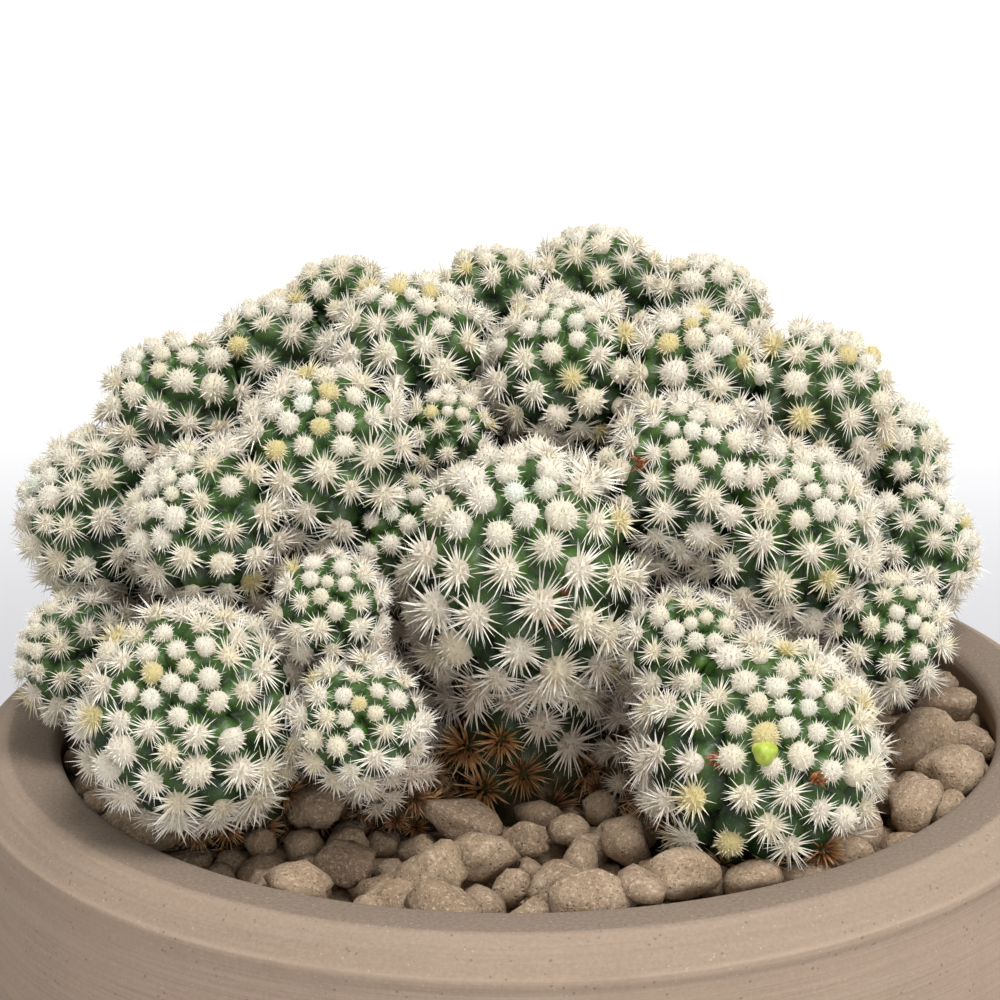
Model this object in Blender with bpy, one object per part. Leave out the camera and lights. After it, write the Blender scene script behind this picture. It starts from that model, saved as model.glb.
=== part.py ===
"""Potted round cactus: a clump of round, warty heads in a turned clay bowl with a pumice top dressing.

The bowl stands on z = 0 with its axis on the z axis. The front of the plant faces -y.
"""
import math

import bmesh
import bpy
from mathutils import Matrix, Vector
from mathutils.bvhtree import BVHTree

MM = 0.001

# Bowl
BOWL_HEIGHT = 90 * MM
OPENING_RADIUS = 85 * MM
RIM_FLAT = 8 * MM          # flat top of the rim, from the lip outwards
RIM_FALL = 5 * MM          # how far the rim's outer slope drops
RIM_SLOPE = 6 * MM         # how far that slope runs outwards
BELLY_DROP = 30 * MM       # widest place, below the rim
BELLY_OUT = 17 * MM        # widest place, outside the opening
WALL = 9 * MM
FLOOR = 10 * MM
FOOT_RADIUS = 60 * MM
FOOT_RING_WIDTH = 10 * MM
FOOT_RING_HEIGHT = 3 * MM
DRAIN_RADIUS = 9 * MM
LIP_ROUND = 1.5 * MM
RIDGE_STAND = 0.9 * MM     # the thin ridge under the rim, out from the rim's slope
RIDGE_HEIGHT = 1.8 * MM
BOWL_SIDES = 56

# Filling
SOIL_DROP = 14 * MM        # soil surface, below the rim
MESH_RADIUS = 17 * MM
MESH_THICKNESS = 1.0 * MM
MESH_HOLES = 6
PEBBLE_COUNT = 20
PEBBLE_SIZE = 15 * MM
PEBBLE_WALL_CLEARANCE = 1.0 * MM
PEBBLE_TOP_CLEARANCE = 0.6 * MM   # under a head that hangs over a stone

# Clump
GAP = 0.3 * MM             # left between pieces that touch
WART_SPACING = 6.6 * MM    # between the tips of neighbouring warts
WART_DEPTH = 2.0 * MM      # valleys between the warts
LOWEST_WART = -0.72        # how far down a head its warts reach, -1 being right under it
STEM_SIDES = 9
STEM_LEAN = 0.55           # a stem's foot stands this share of its head's distance from the middle
OWN_LEAN = {                # the same to the right and to the back, for stems that stand their own way
    "head_front_left": (0.72, 0.42),
    "head_front_right": (0.75, 0.6),
    "pup_front_left": (0.7, 0.35),
    "pup_left_of_centre": (0.5, 0.3),
}
STEM_RADIUS = 0.85         # a stem's foot against its head's radius

# Each head: name, where its middle is (right and back in shares of the opening's radius, then
# millimetres above the rim), radius in millimetres, length against width, and the way that its
# top looks (right, back, up). The millimetres are those of a clump that fills an 85 mm opening.
CLUMP_OPENING = 85 * MM
HEADS = (
    ("head_front_centre", (0.00, -0.31, 35), 19, 1.3, (0, -4, 7)),
    ("head_front_left", (-0.67, -0.55, 19), 17.5, 1.0, (-1, -6, 6)),
    ("head_front_right", (0.46, -0.60, 12), 19, 1.0, (2, -5, 6)),
    ("pup_front_left", (-0.33, -0.68, 22), 9.5, 1.0, (0, -6, 4)),
    ("pup_left_of_centre", (-0.39, -0.51, 37), 8.5, 1.0, (0, -5, 5)),
    ("pup_right_of_centre", (0.32, -0.49, 28), 9, 1.0, (1, -5, 5)),
    ("pup_far_right", (0.75, -0.24, 22), 9.5, 1.0, (3, -5, 5)),
    ("head_right", (0.53, -0.16, 38), 15.5, 1.0, (3, -4, 6)),
    ("head_left", (-0.40, -0.16, 53), 15, 1.05, (-1, -5, 7)),
    ("head_left_low", (-0.64, -0.29, 46), 12.5, 1.0, (-4, -4, 5)),
    ("head_side_left_low", (-0.93, -0.16, 17), 10.5, 1.0, (-7, -3, 4)),
    ("head_side_left", (-0.89, 0.05, 38), 14, 1.0, (-7, -2, 5)),
    ("head_shoulder_left", (-0.73, 0.16, 54), 13, 1.0, (-3, -1, 7)),
    ("head_shoulder_left_back", (-0.52, 0.26, 60), 12, 1.0, (-3, 1, 8)),
    ("head_crown_left", (-0.24, 0.09, 66), 13, 1.0, (1, -2, 8)),
    ("head_crown_left_back", (-0.39, 0.32, 68), 9.5, 1.0, (-2, 2, 8)),
    ("pup_crown_left", (-0.16, -0.12, 57), 7, 1.0, (0, -4, 7)),
    ("head_crown_middle_back", (-0.06, 0.31, 70), 9.5, 1.0, (0, 1, 8)),
    ("head_crown_centre", (0.09, 0.06, 63.5), 12.5, 1.0, (0, -3, 8)),
    ("head_crown_right", (0.35, 0.04, 61.5), 12, 1.0, (1, -2, 8)),
    ("head_inner_right", (0.32, -0.21, 51), 12.5, 1.0, (1, -4, 8)),
    ("head_inner_left", (-0.24, -0.22, 42), 10, 1.0, (-1, -5, 6)),
    ("head_shoulder_right", (0.61, 0.09, 56), 13, 1.0, (3, -1, 7)),
    ("head_side_right", (0.77, 0.26, 40), 11, 1.0, (6, 0, 6)),
    ("head_side_right_low", (0.82, 0.08, 28), 11, 1.0, (7, -2, 5)),
    ("head_top_back_centre", (0.16, 0.39, 69), 12, 1.0, (0, 1, 8)),
    ("head_top_back_right", (0.39, 0.35, 65), 11, 1.0, (2, 1, 8)),
    ("head_back_left", (-0.66, 0.49, 40), 16.5, 1.0, (-5, 5, 6)),
    ("head_back_centre", (-0.16, 0.62, 48), 18, 1.0, (-1, 6, 7)),
    ("head_back_right", (0.33, 0.61, 44), 17, 1.0, (2, 6, 6)),
    ("head_back_far_right", (0.67, 0.49, 36), 13.5, 1.0, (5, 5, 5)),
    ("head_back_low_left", (-0.45, 0.80, 20), 13.5, 1.0, (-2, 7, 4)),
    ("head_back_low_centre", (0.05, 0.85, 21), 14, 1.0, (0, 7, 4)),
    ("head_back_low_right", (0.51, 0.78, 18), 12.5, 1.0, (4, 6, 4)),
    ("head_back_side_left", (-0.91, 0.36, 23), 12, 1.0, (-6, 4, 4)),
    ("head_back_side_right", (0.85, 0.45, 17), 10.5, 1.0, (6, 4, 4)),
)

SHARP_CORNER = math.radians(40)
GOLDEN_ANGLE = math.pi * (3 - math.sqrt(5))
SOIL_TOP = BOWL_HEIGHT - SOIL_DROP
INNER_BELLY = OPENING_RADIUS + BELLY_OUT - WALL
GROWTH = OPENING_RADIUS / CLUMP_OPENING    # the clump fills its bowl, so its heads grow with the opening


def material(name, colour, roughness):
    """A plain Principled material."""
    found = bpy.data.materials.new(name)
    found.use_nodes = True
    shader = found.node_tree.nodes["Principled BSDF"]
    shader.inputs["Base Color"].default_value = (*colour, 1)
    shader.inputs["Roughness"].default_value = roughness
    shader.inputs["Metallic"].default_value = 0
    return found


def add_object(name, bm, surface):
    """Put a bmesh into the scene under the name of its sub-part, smooth but for its real corners."""
    bmesh.ops.recalc_face_normals(bm, faces=bm.faces)
    for face in bm.faces:
        face.smooth = True
    for edge in bm.edges:
        edge.smooth = edge.calc_face_angle(0) < SHARP_CORNER
    mesh = bpy.data.meshes.new(name)
    bm.to_mesh(mesh)
    bm.free()
    mesh.materials.append(surface)
    thing = bpy.data.objects.new(name, mesh)
    bpy.context.scene.collection.objects.link(thing)
    return thing


def turned(profile, sides):
    """Spin a closed outline of (radius, height) points round the z axis."""
    bm = bmesh.new()
    verts = [bm.verts.new((radius, 0, height)) for radius, height in profile]
    edges = [bm.edges.new((a, b)) for a, b in zip(verts, verts[1:])]
    if profile[0][0] > 0:
        edges.append(bm.edges.new((verts[-1], verts[0])))
    bmesh.ops.spin(
        bm, geom=verts + edges, axis=(0, 0, 1), cent=(0, 0, 0), angle=math.tau, steps=sides, use_merge=True
    )
    bmesh.ops.remove_doubles(bm, verts=bm.verts, dist=1e-6)
    return bm


def inner_wall(steps, inset=0.0, top=None):
    """Points down the inside of the bowl, from a height to the corner of the floor.

    The inside is a quarter of an ellipse under the widest place and leans in to the lip above it.
    """
    belly = BOWL_HEIGHT - BELLY_DROP
    corner = FOOT_RADIUS - WALL / 2
    points = []
    if top is not None:
        lean = (top - belly) / BELLY_DROP
        points.append((INNER_BELLY + (OPENING_RADIUS - INNER_BELLY) * lean - inset, top))
    for step in range(steps + 1):
        turn = math.radians(90) * step / steps
        radius = corner + (INNER_BELLY - corner) * math.cos(turn)
        points.append((radius - inset, belly - (belly - FLOOR - inset) * math.sin(turn)))
    return points


def bowl_profile():
    """Outline of the clay: foot ring, outside, rim, lip, inside and drain hole."""
    belly = BOWL_HEIGHT - BELLY_DROP
    belly_radius = OPENING_RADIUS + BELLY_OUT
    rim_outside = OPENING_RADIUS + LIP_ROUND + RIM_FLAT
    ridge = rim_outside + RIM_SLOPE
    ridge_height = BOWL_HEIGHT - RIM_FALL
    outline = [
        (DRAIN_RADIUS, FOOT_RING_HEIGHT),
        (FOOT_RADIUS - FOOT_RING_WIDTH, FOOT_RING_HEIGHT),
        (FOOT_RADIUS - FOOT_RING_WIDTH, 0),
        (FOOT_RADIUS, 0),
    ]
    start = math.radians(30)
    for step in range(8):
        turn = start + (math.radians(90) - start) * step / 7
        radius = belly_radius - (belly_radius - FOOT_RADIUS) * (1 - math.sin(turn)) / (1 - math.sin(start))
        height = belly - (belly - FOOT_RING_HEIGHT) * math.cos(turn) / math.cos(start)
        outline.append((radius, height))
    outline += [
        (belly_radius - (belly_radius - ridge - RIDGE_STAND) * 0.3, (belly + ridge_height) / 2),
        (ridge + RIDGE_STAND, ridge_height - RIDGE_HEIGHT),
        (ridge + RIDGE_STAND, ridge_height - RIDGE_HEIGHT * 0.3),
        (ridge, ridge_height),
        (rim_outside + RIM_SLOPE * 0.45, BOWL_HEIGHT - RIM_FALL * 0.3),
        (rim_outside, BOWL_HEIGHT),
        (OPENING_RADIUS + LIP_ROUND, BOWL_HEIGHT),
        (OPENING_RADIUS + LIP_ROUND * 0.3, BOWL_HEIGHT - LIP_ROUND * 0.3),
        (OPENING_RADIUS, BOWL_HEIGHT - LIP_ROUND),
    ]
    outline += inner_wall(7)
    outline.append((DRAIN_RADIUS, FLOOR))
    return outline


def make_bowl(clay):
    return add_object("bowl", turned(bowl_profile(), BOWL_SIDES), clay)


def make_drain_mesh(plastic):
    """A square-holed disc over the drain hole, which keeps the soil in."""
    bm = bmesh.new()
    low = FLOOR + GAP
    bmesh.ops.create_circle(
        bm, cap_ends=True, segments=32, radius=MESH_RADIUS, matrix=Matrix.Translation((0, 0, low))
    )
    pitch = 2 * DRAIN_RADIUS / MESH_HOLES
    for axis in (Vector((1, 0, 0)), Vector((0, 1, 0))):
        for line in range(MESH_HOLES):
            for side in (-0.3, 0.3):
                place = axis * (pitch * (line + 0.5 + side) - DRAIN_RADIUS)
                geom = bm.verts[:] + bm.edges[:] + bm.faces[:]
                bmesh.ops.bisect_plane(bm, geom=geom, plane_co=place, plane_no=axis, dist=1e-7)
    holes = [face for face in bm.faces if is_mesh_hole(face.calc_center_median(), pitch)]
    bmesh.ops.delete(bm, geom=holes, context="FACES")
    sheet = bmesh.ops.extrude_face_region(bm, geom=bm.faces[:])
    raised = [item for item in sheet["geom"] if isinstance(item, bmesh.types.BMVert)]
    bmesh.ops.translate(bm, vec=(0, 0, MESH_THICKNESS), verts=raised)
    return add_object("drain_mesh", bm, plastic)


def is_mesh_hole(place, pitch):
    """Whether a place on the sheet lies in one of the square holes over the drain."""
    if max(abs(place.x), abs(place.y)) > DRAIN_RADIUS:
        return False
    offsets = [((value + DRAIN_RADIUS) / pitch) % 1 - 0.5 for value in (place.x, place.y)]
    return max(abs(offset) for offset in offsets) < 0.3


def make_soil(earth):
    """The soil: fits the inside of the bowl with a gap, and clears the drain mesh."""
    clear = MESH_RADIUS + GAP
    over_mesh = FLOOR + GAP + MESH_THICKNESS + GAP
    outline = [(0, over_mesh), (clear, over_mesh), (clear, FLOOR + GAP)]
    outline += reversed(inner_wall(7, GAP, SOIL_TOP))
    outline.append((0, SOIL_TOP))
    return add_object("soil", turned(outline, BOWL_SIDES), earth)


def stem_foot(name, place):
    """Where the stem of a head enters the soil."""
    right, back = OWN_LEAN.get(name, (STEM_LEAN, STEM_LEAN))
    return Vector((place.x * right, place.y * back, SOIL_TOP))


def head_points(place, foot, radius, length, look):
    """Tips of a head's warts, and the ring where its stem enters the soil."""
    turn = look.to_track_quat("Z", "Y")
    count = round(4 * math.pi * radius * radius / (WART_SPACING * WART_SPACING) * 1.1)
    tips = []
    for index in range(count):
        height = 1 - (2 * index + 1) / count
        if height < LOWEST_WART:
            continue
        across = math.sqrt(1 - height * height)
        angle = index * GOLDEN_ANGLE
        tip = Vector((across * math.cos(angle), across * math.sin(angle), height * length))
        tips.append(place + turn @ (tip * radius))
    for index in range(STEM_SIDES):
        angle = math.tau * index / STEM_SIDES
        tips.append(foot + radius * STEM_RADIUS * Vector((math.cos(angle), math.sin(angle), 0)))
    return tips


def hull_of(points):
    """The closed convex skin over a cloud of points."""
    bm = bmesh.new()
    for point in points:
        bm.verts.new(point)
    found = bmesh.ops.convex_hull(bm, input=bm.verts[:])
    inside = [item for item in found["geom_interior"] if isinstance(item, bmesh.types.BMVert)]
    bmesh.ops.delete(bm, geom=inside, context="VERTS")
    bmesh.ops.recalc_face_normals(bm, faces=bm.faces)
    return bm


def cut_flat(bm, point, normal):
    """Cut away what lies beyond a plane, and close the cut with a flat face."""
    geom = bm.verts[:] + bm.edges[:] + bm.faces[:]
    bmesh.ops.bisect_plane(
        bm, geom=geom, plane_co=point, plane_no=normal, dist=1e-6, clear_outer=True
    )
    rim = [edge for edge in bm.edges if edge.is_boundary]
    if rim:
        bmesh.ops.contextual_create(bm, geom=rim)


def parting_plane(first, second):
    """The plane that two neighbouring heads press against: between their heads and between their feet."""
    share = first["radius"] / (first["radius"] + second["radius"])
    middle = first["place"].lerp(second["place"], share)
    between_feet = first["foot"].lerp(second["foot"], share)
    along = (middle - between_feet).normalized()
    across = second["place"] - first["place"]
    return middle, (across - along * across.dot(along)).normalized()


def press_warts(bm, cuts):
    """Sink the middle of each free facet, which leaves the warts' tips standing."""
    free = [face for face in bm.faces if not lies_on_cut(face, cuts)]
    for face in free:
        centre = face.calc_center_median()
        nearest = min(distance_to_edge(centre, edge) for edge in face.edges)
        room = [nearest * 0.6, WART_DEPTH]
        room += [(point - centre).dot(normal) * 0.7 for point, normal in cuts]
        depth = min(room)
        if depth > 0.2 * MM:
            inward = face.normal * -depth
            middle = bmesh.ops.poke(bm, faces=[face])["verts"][0]
            middle.co = centre + inward


def lies_on_cut(face, cuts):
    return any(
        abs(face.normal.dot(normal)) > 0.999 and abs((face.verts[0].co - point).dot(normal)) < 0.01 * MM
        for point, normal in cuts
    )


def distance_to_edge(point, edge):
    start, end = (vert.co for vert in edge.verts)
    run = end - start
    share = max(0, min(1, (point - start).dot(run) / run.length_squared))
    return (start + run * share - point).length


def plan_heads():
    """Each head's place, radius and skin before its neighbours are taken into account."""
    heads = []
    for name, (right, back, up), radius, length, look in HEADS:
        centre = Vector((right * OPENING_RADIUS, back * OPENING_RADIUS, BOWL_HEIGHT + up * MM * GROWTH))
        foot = stem_foot(name, centre)
        size = radius * MM * GROWTH
        skin = hull_of(head_points(centre, foot, size, length, Vector(look).normalized()))
        heads.append({"name": name, "place": centre, "foot": foot, "radius": size, "skin": skin, "cuts": []})
    return heads


def share_space(heads):
    """Press each pair of heads that meet against one flat plane, with the gap between them."""
    trees = [BVHTree.FromBMesh(head["skin"]) for head in heads]
    for index, first in enumerate(heads):
        for other in range(index + 1, len(heads)):
            second = heads[other]
            if not trees[index].overlap(trees[other]):
                continue
            middle, normal = parting_plane(first, second)
            first["cuts"].append((middle - normal * GAP / 2, normal))
            second["cuts"].append((middle + normal * GAP / 2, -normal))


def make_heads(flesh):
    """The clump: round heads, each with its stem down to the soil, pressed flat where they meet."""
    heads = plan_heads()
    share_space(heads)
    skins = []
    for head in heads:
        bm = head["skin"]
        cuts = head["cuts"] + [(Vector((0, 0, SOIL_TOP + GAP)), Vector((0, 0, -1)))]
        for point, normal in cuts:
            cut_flat(bm, point, normal)
        bmesh.ops.remove_doubles(bm, verts=bm.verts, dist=0.05 * MM)
        bmesh.ops.dissolve_degenerate(bm, edges=bm.edges, dist=0.02 * MM)
        bm.normal_update()
        press_warts(bm, cuts)
        bmesh.ops.triangulate(bm, faces=bm.faces)
        skins.append(BVHTree.FromBMesh(bm))
        add_object(head["name"], bm, flesh)
    return skins


def pebble_shape(size, seed):
    """A rounded, lopsided stone: a small ball stretched, turned and knocked about by waves."""
    bm = bmesh.new()
    bmesh.ops.create_icosphere(bm, subdivisions=1, radius=size / 2)
    stretch = Vector((1 + 0.18 * math.sin(seed * 2.1), 0.86, 0.74 + 0.1 * math.cos(seed * 1.7)))
    for vert in bm.verts:
        x, y = vert.co.x / size, vert.co.y / size
        bump = 1 + 0.10 * math.sin(5 * x + seed) + 0.08 * math.cos(7 * y + 2 * seed)
        vert.co = vert.co * stretch * bump
    bmesh.ops.rotate(bm, verts=bm.verts, cent=(0, 0, 0), matrix=Matrix.Rotation(seed * 1.3, 3, "Z"))
    return bm


def room_above(place, reach, skins):
    """Free height over a round patch of soil, up to the lowest head that hangs over it."""
    room = math.inf
    for step in range(12):
        angle = math.tau * step / 12
        for share in (0, 0.5, 1):
            start = place + reach * share * Vector((math.cos(angle), math.sin(angle), 0))
            for skin in skins:
                distance = skin.ray_cast(start, Vector((0, 0, 1)))[3]
                if distance is not None:
                    room = min(room, distance)
    return room


def make_pebbles(pumice, skins):
    """One ring of the larger stones of the top dressing, lying on the soil along the wall."""
    reach = OPENING_RADIUS - PEBBLE_WALL_CLEARANCE - PEBBLE_SIZE * 0.62
    for index in range(PEBBLE_COUNT):
        angle = math.tau * index / PEBBLE_COUNT
        distance = reach - 1.2 * MM * (1 + math.sin(index * 2.4))
        place = Vector((distance * math.cos(angle), distance * math.sin(angle), SOIL_TOP + GAP))
        size = PEBBLE_SIZE * (0.92 + 0.08 * math.sin(index * 3.1))
        bm = pebble_shape(size, index + 1)
        low = min(vert.co.z for vert in bm.verts)
        height = max(vert.co.z for vert in bm.verts) - low
        room = room_above(place, size * 0.62, skins) - PEBBLE_TOP_CLEARANCE
        bmesh.ops.translate(bm, vec=(0, 0, -low), verts=bm.verts)
        bmesh.ops.scale(bm, vec=(1, 1, min(1, room / height)), verts=bm.verts)
        bmesh.ops.translate(bm, vec=place, verts=bm.verts)
        add_object(f"pebble_{index + 1:02d}", bm, pumice)


def main():
    for thing in list(bpy.data.objects):
        bpy.data.objects.remove(thing)
    clay = material("turned_clay", (0.48, 0.38, 0.30), 0.85)
    earth = material("potting_soil", (0.035, 0.025, 0.018), 0.95)
    plastic = material("mesh_plastic", (0.03, 0.03, 0.03), 0.5)
    flesh = material("cactus_flesh", (0.16, 0.27, 0.10), 0.5)
    pumice = material("pumice", (0.50, 0.38, 0.27), 0.9)
    make_bowl(clay)
    make_drain_mesh(plastic)
    make_soil(earth)
    skins = make_heads(flesh)
    make_pebbles(pumice, skins)


main()
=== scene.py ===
"""Looks of the potted round cactus: its heads, spines and wool, the clay bowl, the soil and the pumice."""
import math
import random

import bmesh
import bpy
import numpy as np
from mathutils import Matrix, Quaternion, Vector


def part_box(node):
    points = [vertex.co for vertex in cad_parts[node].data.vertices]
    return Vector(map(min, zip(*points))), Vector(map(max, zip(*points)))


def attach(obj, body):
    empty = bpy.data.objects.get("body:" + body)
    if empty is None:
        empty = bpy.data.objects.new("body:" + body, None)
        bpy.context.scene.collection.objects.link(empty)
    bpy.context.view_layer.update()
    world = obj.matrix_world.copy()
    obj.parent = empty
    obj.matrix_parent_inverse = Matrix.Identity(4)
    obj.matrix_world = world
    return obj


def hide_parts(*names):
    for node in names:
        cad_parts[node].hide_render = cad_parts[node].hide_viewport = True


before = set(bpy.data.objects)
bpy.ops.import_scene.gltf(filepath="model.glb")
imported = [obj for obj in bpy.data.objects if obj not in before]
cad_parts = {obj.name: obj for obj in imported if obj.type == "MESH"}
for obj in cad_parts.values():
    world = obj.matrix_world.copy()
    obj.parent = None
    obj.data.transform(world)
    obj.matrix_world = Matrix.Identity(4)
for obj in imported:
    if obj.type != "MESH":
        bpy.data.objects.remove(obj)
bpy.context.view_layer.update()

MM = 0.001
GOLDEN_ANGLE = math.pi * (3 - math.sqrt(5))
ROOT = "root"

# The bowl, from the frame, and what the frame doesn't say
BOWL_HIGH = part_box("bowl")[1]
RIM = BOWL_HIGH.z
BELLY_RADIUS = BOWL_HIGH.x
BELLY_OUT = 17 * MM        # how far the belly bulges past the opening
OPENING = BELLY_RADIUS - BELLY_OUT
RIM_FLAT = 8 * MM
RIM_SLOPE = 6 * MM
RIM_FALL = 5 * MM
LIP_ROUND = 1.5 * MM
BELLY_DROP = 30 * MM       # from the rim down to the widest place
WALL = 9 * MM
FLOOR = 10 * MM            # the clay under the soil
FOOT_RADIUS = 60 * MM
FOOT_RING_WIDTH = 10 * MM
FOOT_RING_HEIGHT = 3 * MM
DRAIN_RADIUS = 9 * MM
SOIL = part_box("soil")[1].z

# The clump. A stem's foot keeps this share of its head's place, right and back from the middle.
STEM_LEAN = 0.55
OWN_LEAN = {
    "head_front_left": (0.72, 0.42),
    "head_front_right": (0.75, 0.6),
    "pup_front_left": (0.7, 0.35),
    "pup_left_of_centre": (0.5, 0.3),
}
NECK = 0.72                # a stem's top against its head's widest place
STEM_TAPER = 0.15          # how much thinner a stem is at its foot
GAP = 0.3 * MM             # between heads that press on each other

# The warts, against the distance from one to the next
WART_HEIGHT = 0.52
WART_REACH = 0.60
WART_RISE = 0.22           # the share of a wart's height above the head's round outline
HIGHEST_WART = 3.9 * MM
TUFT_PITCH = 6.4 * MM      # the distance between warts that the tufts are drawn for

# Each head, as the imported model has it: node, middle (right and back in shares of the opening's
# radius, then millimetres above the rim), radius in millimetres, length against width, the way that
# its top looks, and the distance between its warts in millimetres.
HEADS = (
    ("head_front_centre", (0.00, -0.31, 35), 19, 1.3, (0, -4, 7), 8.4),
    ("head_front_left", (-0.67, -0.55, 19), 17.5, 1.0, (-1, -6, 6), 6.6),
    ("head_front_right", (0.46, -0.60, 12), 19, 1.0, (2, -5, 6), 7.0),
    ("pup_front_left", (-0.33, -0.68, 22), 9.5, 1.0, (0, -6, 4), 5.2),
    ("pup_left_of_centre", (-0.39, -0.51, 37), 8.5, 1.0, (0, -5, 5), 5.0),
    ("pup_right_of_centre", (0.32, -0.49, 28), 9, 1.0, (1, -5, 5), 5.2),
    ("pup_far_right", (0.75, -0.24, 22), 9.5, 1.0, (3, -5, 5), 5.4),
    ("head_right", (0.53, -0.16, 38), 15.5, 1.0, (3, -4, 6), 6.8),
    ("head_left", (-0.40, -0.16, 53), 15, 1.05, (-1, -5, 7), 6.6),
    ("head_left_low", (-0.64, -0.29, 46), 12.5, 1.0, (-4, -4, 5), 6.0),
    ("head_side_left_low", (-0.93, -0.16, 17), 10.5, 1.0, (-7, -3, 4), 5.4),
    ("head_side_left", (-0.89, 0.05, 38), 14, 1.0, (-7, -2, 5), 6.2),
    ("head_shoulder_left", (-0.73, 0.16, 54), 13, 1.0, (-3, -1, 7), 6.2),
    ("head_shoulder_left_back", (-0.52, 0.26, 60), 12, 1.0, (-3, 1, 8), 6.0),
    ("head_crown_left", (-0.24, 0.09, 66), 13, 1.0, (1, -2, 8), 6.2),
    ("head_crown_left_back", (-0.39, 0.32, 68), 9.5, 1.0, (-2, 2, 8), 5.4),
    ("pup_crown_left", (-0.16, -0.12, 57), 7, 1.0, (0, -4, 7), 4.4),
    ("head_crown_middle_back", (-0.06, 0.31, 70), 9.5, 1.0, (0, 1, 8), 5.4),
    ("head_crown_centre", (0.09, 0.06, 63.5), 12.5, 1.0, (0, -3, 8), 6.0),
    ("head_crown_right", (0.35, 0.04, 61.5), 12, 1.0, (1, -2, 8), 6.0),
    ("head_inner_right", (0.32, -0.21, 51), 12.5, 1.0, (1, -4, 8), 6.0),
    ("head_inner_left", (-0.24, -0.22, 42), 10, 1.0, (-1, -5, 6), 5.6),
    ("head_shoulder_right", (0.61, 0.09, 56), 13, 1.0, (3, -1, 7), 6.2),
    ("head_side_right", (0.77, 0.26, 40), 11, 1.0, (6, 0, 6), 5.8),
    ("head_side_right_low", (0.82, 0.08, 28), 11, 1.0, (7, -2, 5), 5.8),
    ("head_top_back_centre", (0.16, 0.39, 69), 12, 1.0, (0, 1, 8), 6.0),
    ("head_top_back_right", (0.39, 0.35, 65), 11, 1.0, (2, 1, 8), 6.0),
    ("head_back_left", (-0.66, 0.49, 40), 16.5, 1.0, (-5, 5, 6), 7.0),
    ("head_back_centre", (-0.16, 0.62, 48), 18, 1.0, (-1, 6, 7), 7.2),
    ("head_back_right", (0.33, 0.61, 44), 17, 1.0, (2, 6, 6), 7.0),
    ("head_back_far_right", (0.67, 0.49, 36), 13.5, 1.0, (5, 5, 5), 6.4),
    ("head_back_low_left", (-0.45, 0.80, 20), 13.5, 1.0, (-2, 7, 4), 6.4),
    ("head_back_low_centre", (0.05, 0.85, 21), 14, 1.0, (0, 7, 4), 6.4),
    ("head_back_low_right", (0.51, 0.78, 18), 12.5, 1.0, (4, 6, 4), 6.2),
    ("head_back_side_left", (-0.91, 0.36, 23), 12, 1.0, (-6, 4, 4), 6.2),
    ("head_back_side_right", (0.85, 0.45, 17), 10.5, 1.0, (6, 4, 4), 5.8),
)


# ---------------------------------------------------------------- materials

class Value:
    """A number that changes over a surface. Sums with it become the material's own maths."""

    def __init__(self, paint, socket):
        self.paint = paint
        self.socket = socket

    def maths(self, operation, *terms):
        return self.paint.add("ShaderNodeMath", {"operation": operation}, dict(enumerate(terms)))

    def __add__(self, other):
        return self.maths("ADD", self, other)

    def __mul__(self, other):
        return self.maths("MULTIPLY", self, other)

    def __gt__(self, other):
        return self.maths("GREATER_THAN", self, other)

    def __lt__(self, other):
        return self.maths("LESS_THAN", self, other)

    def __pow__(self, other):
        return self.maths("POWER", self, other)


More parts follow.
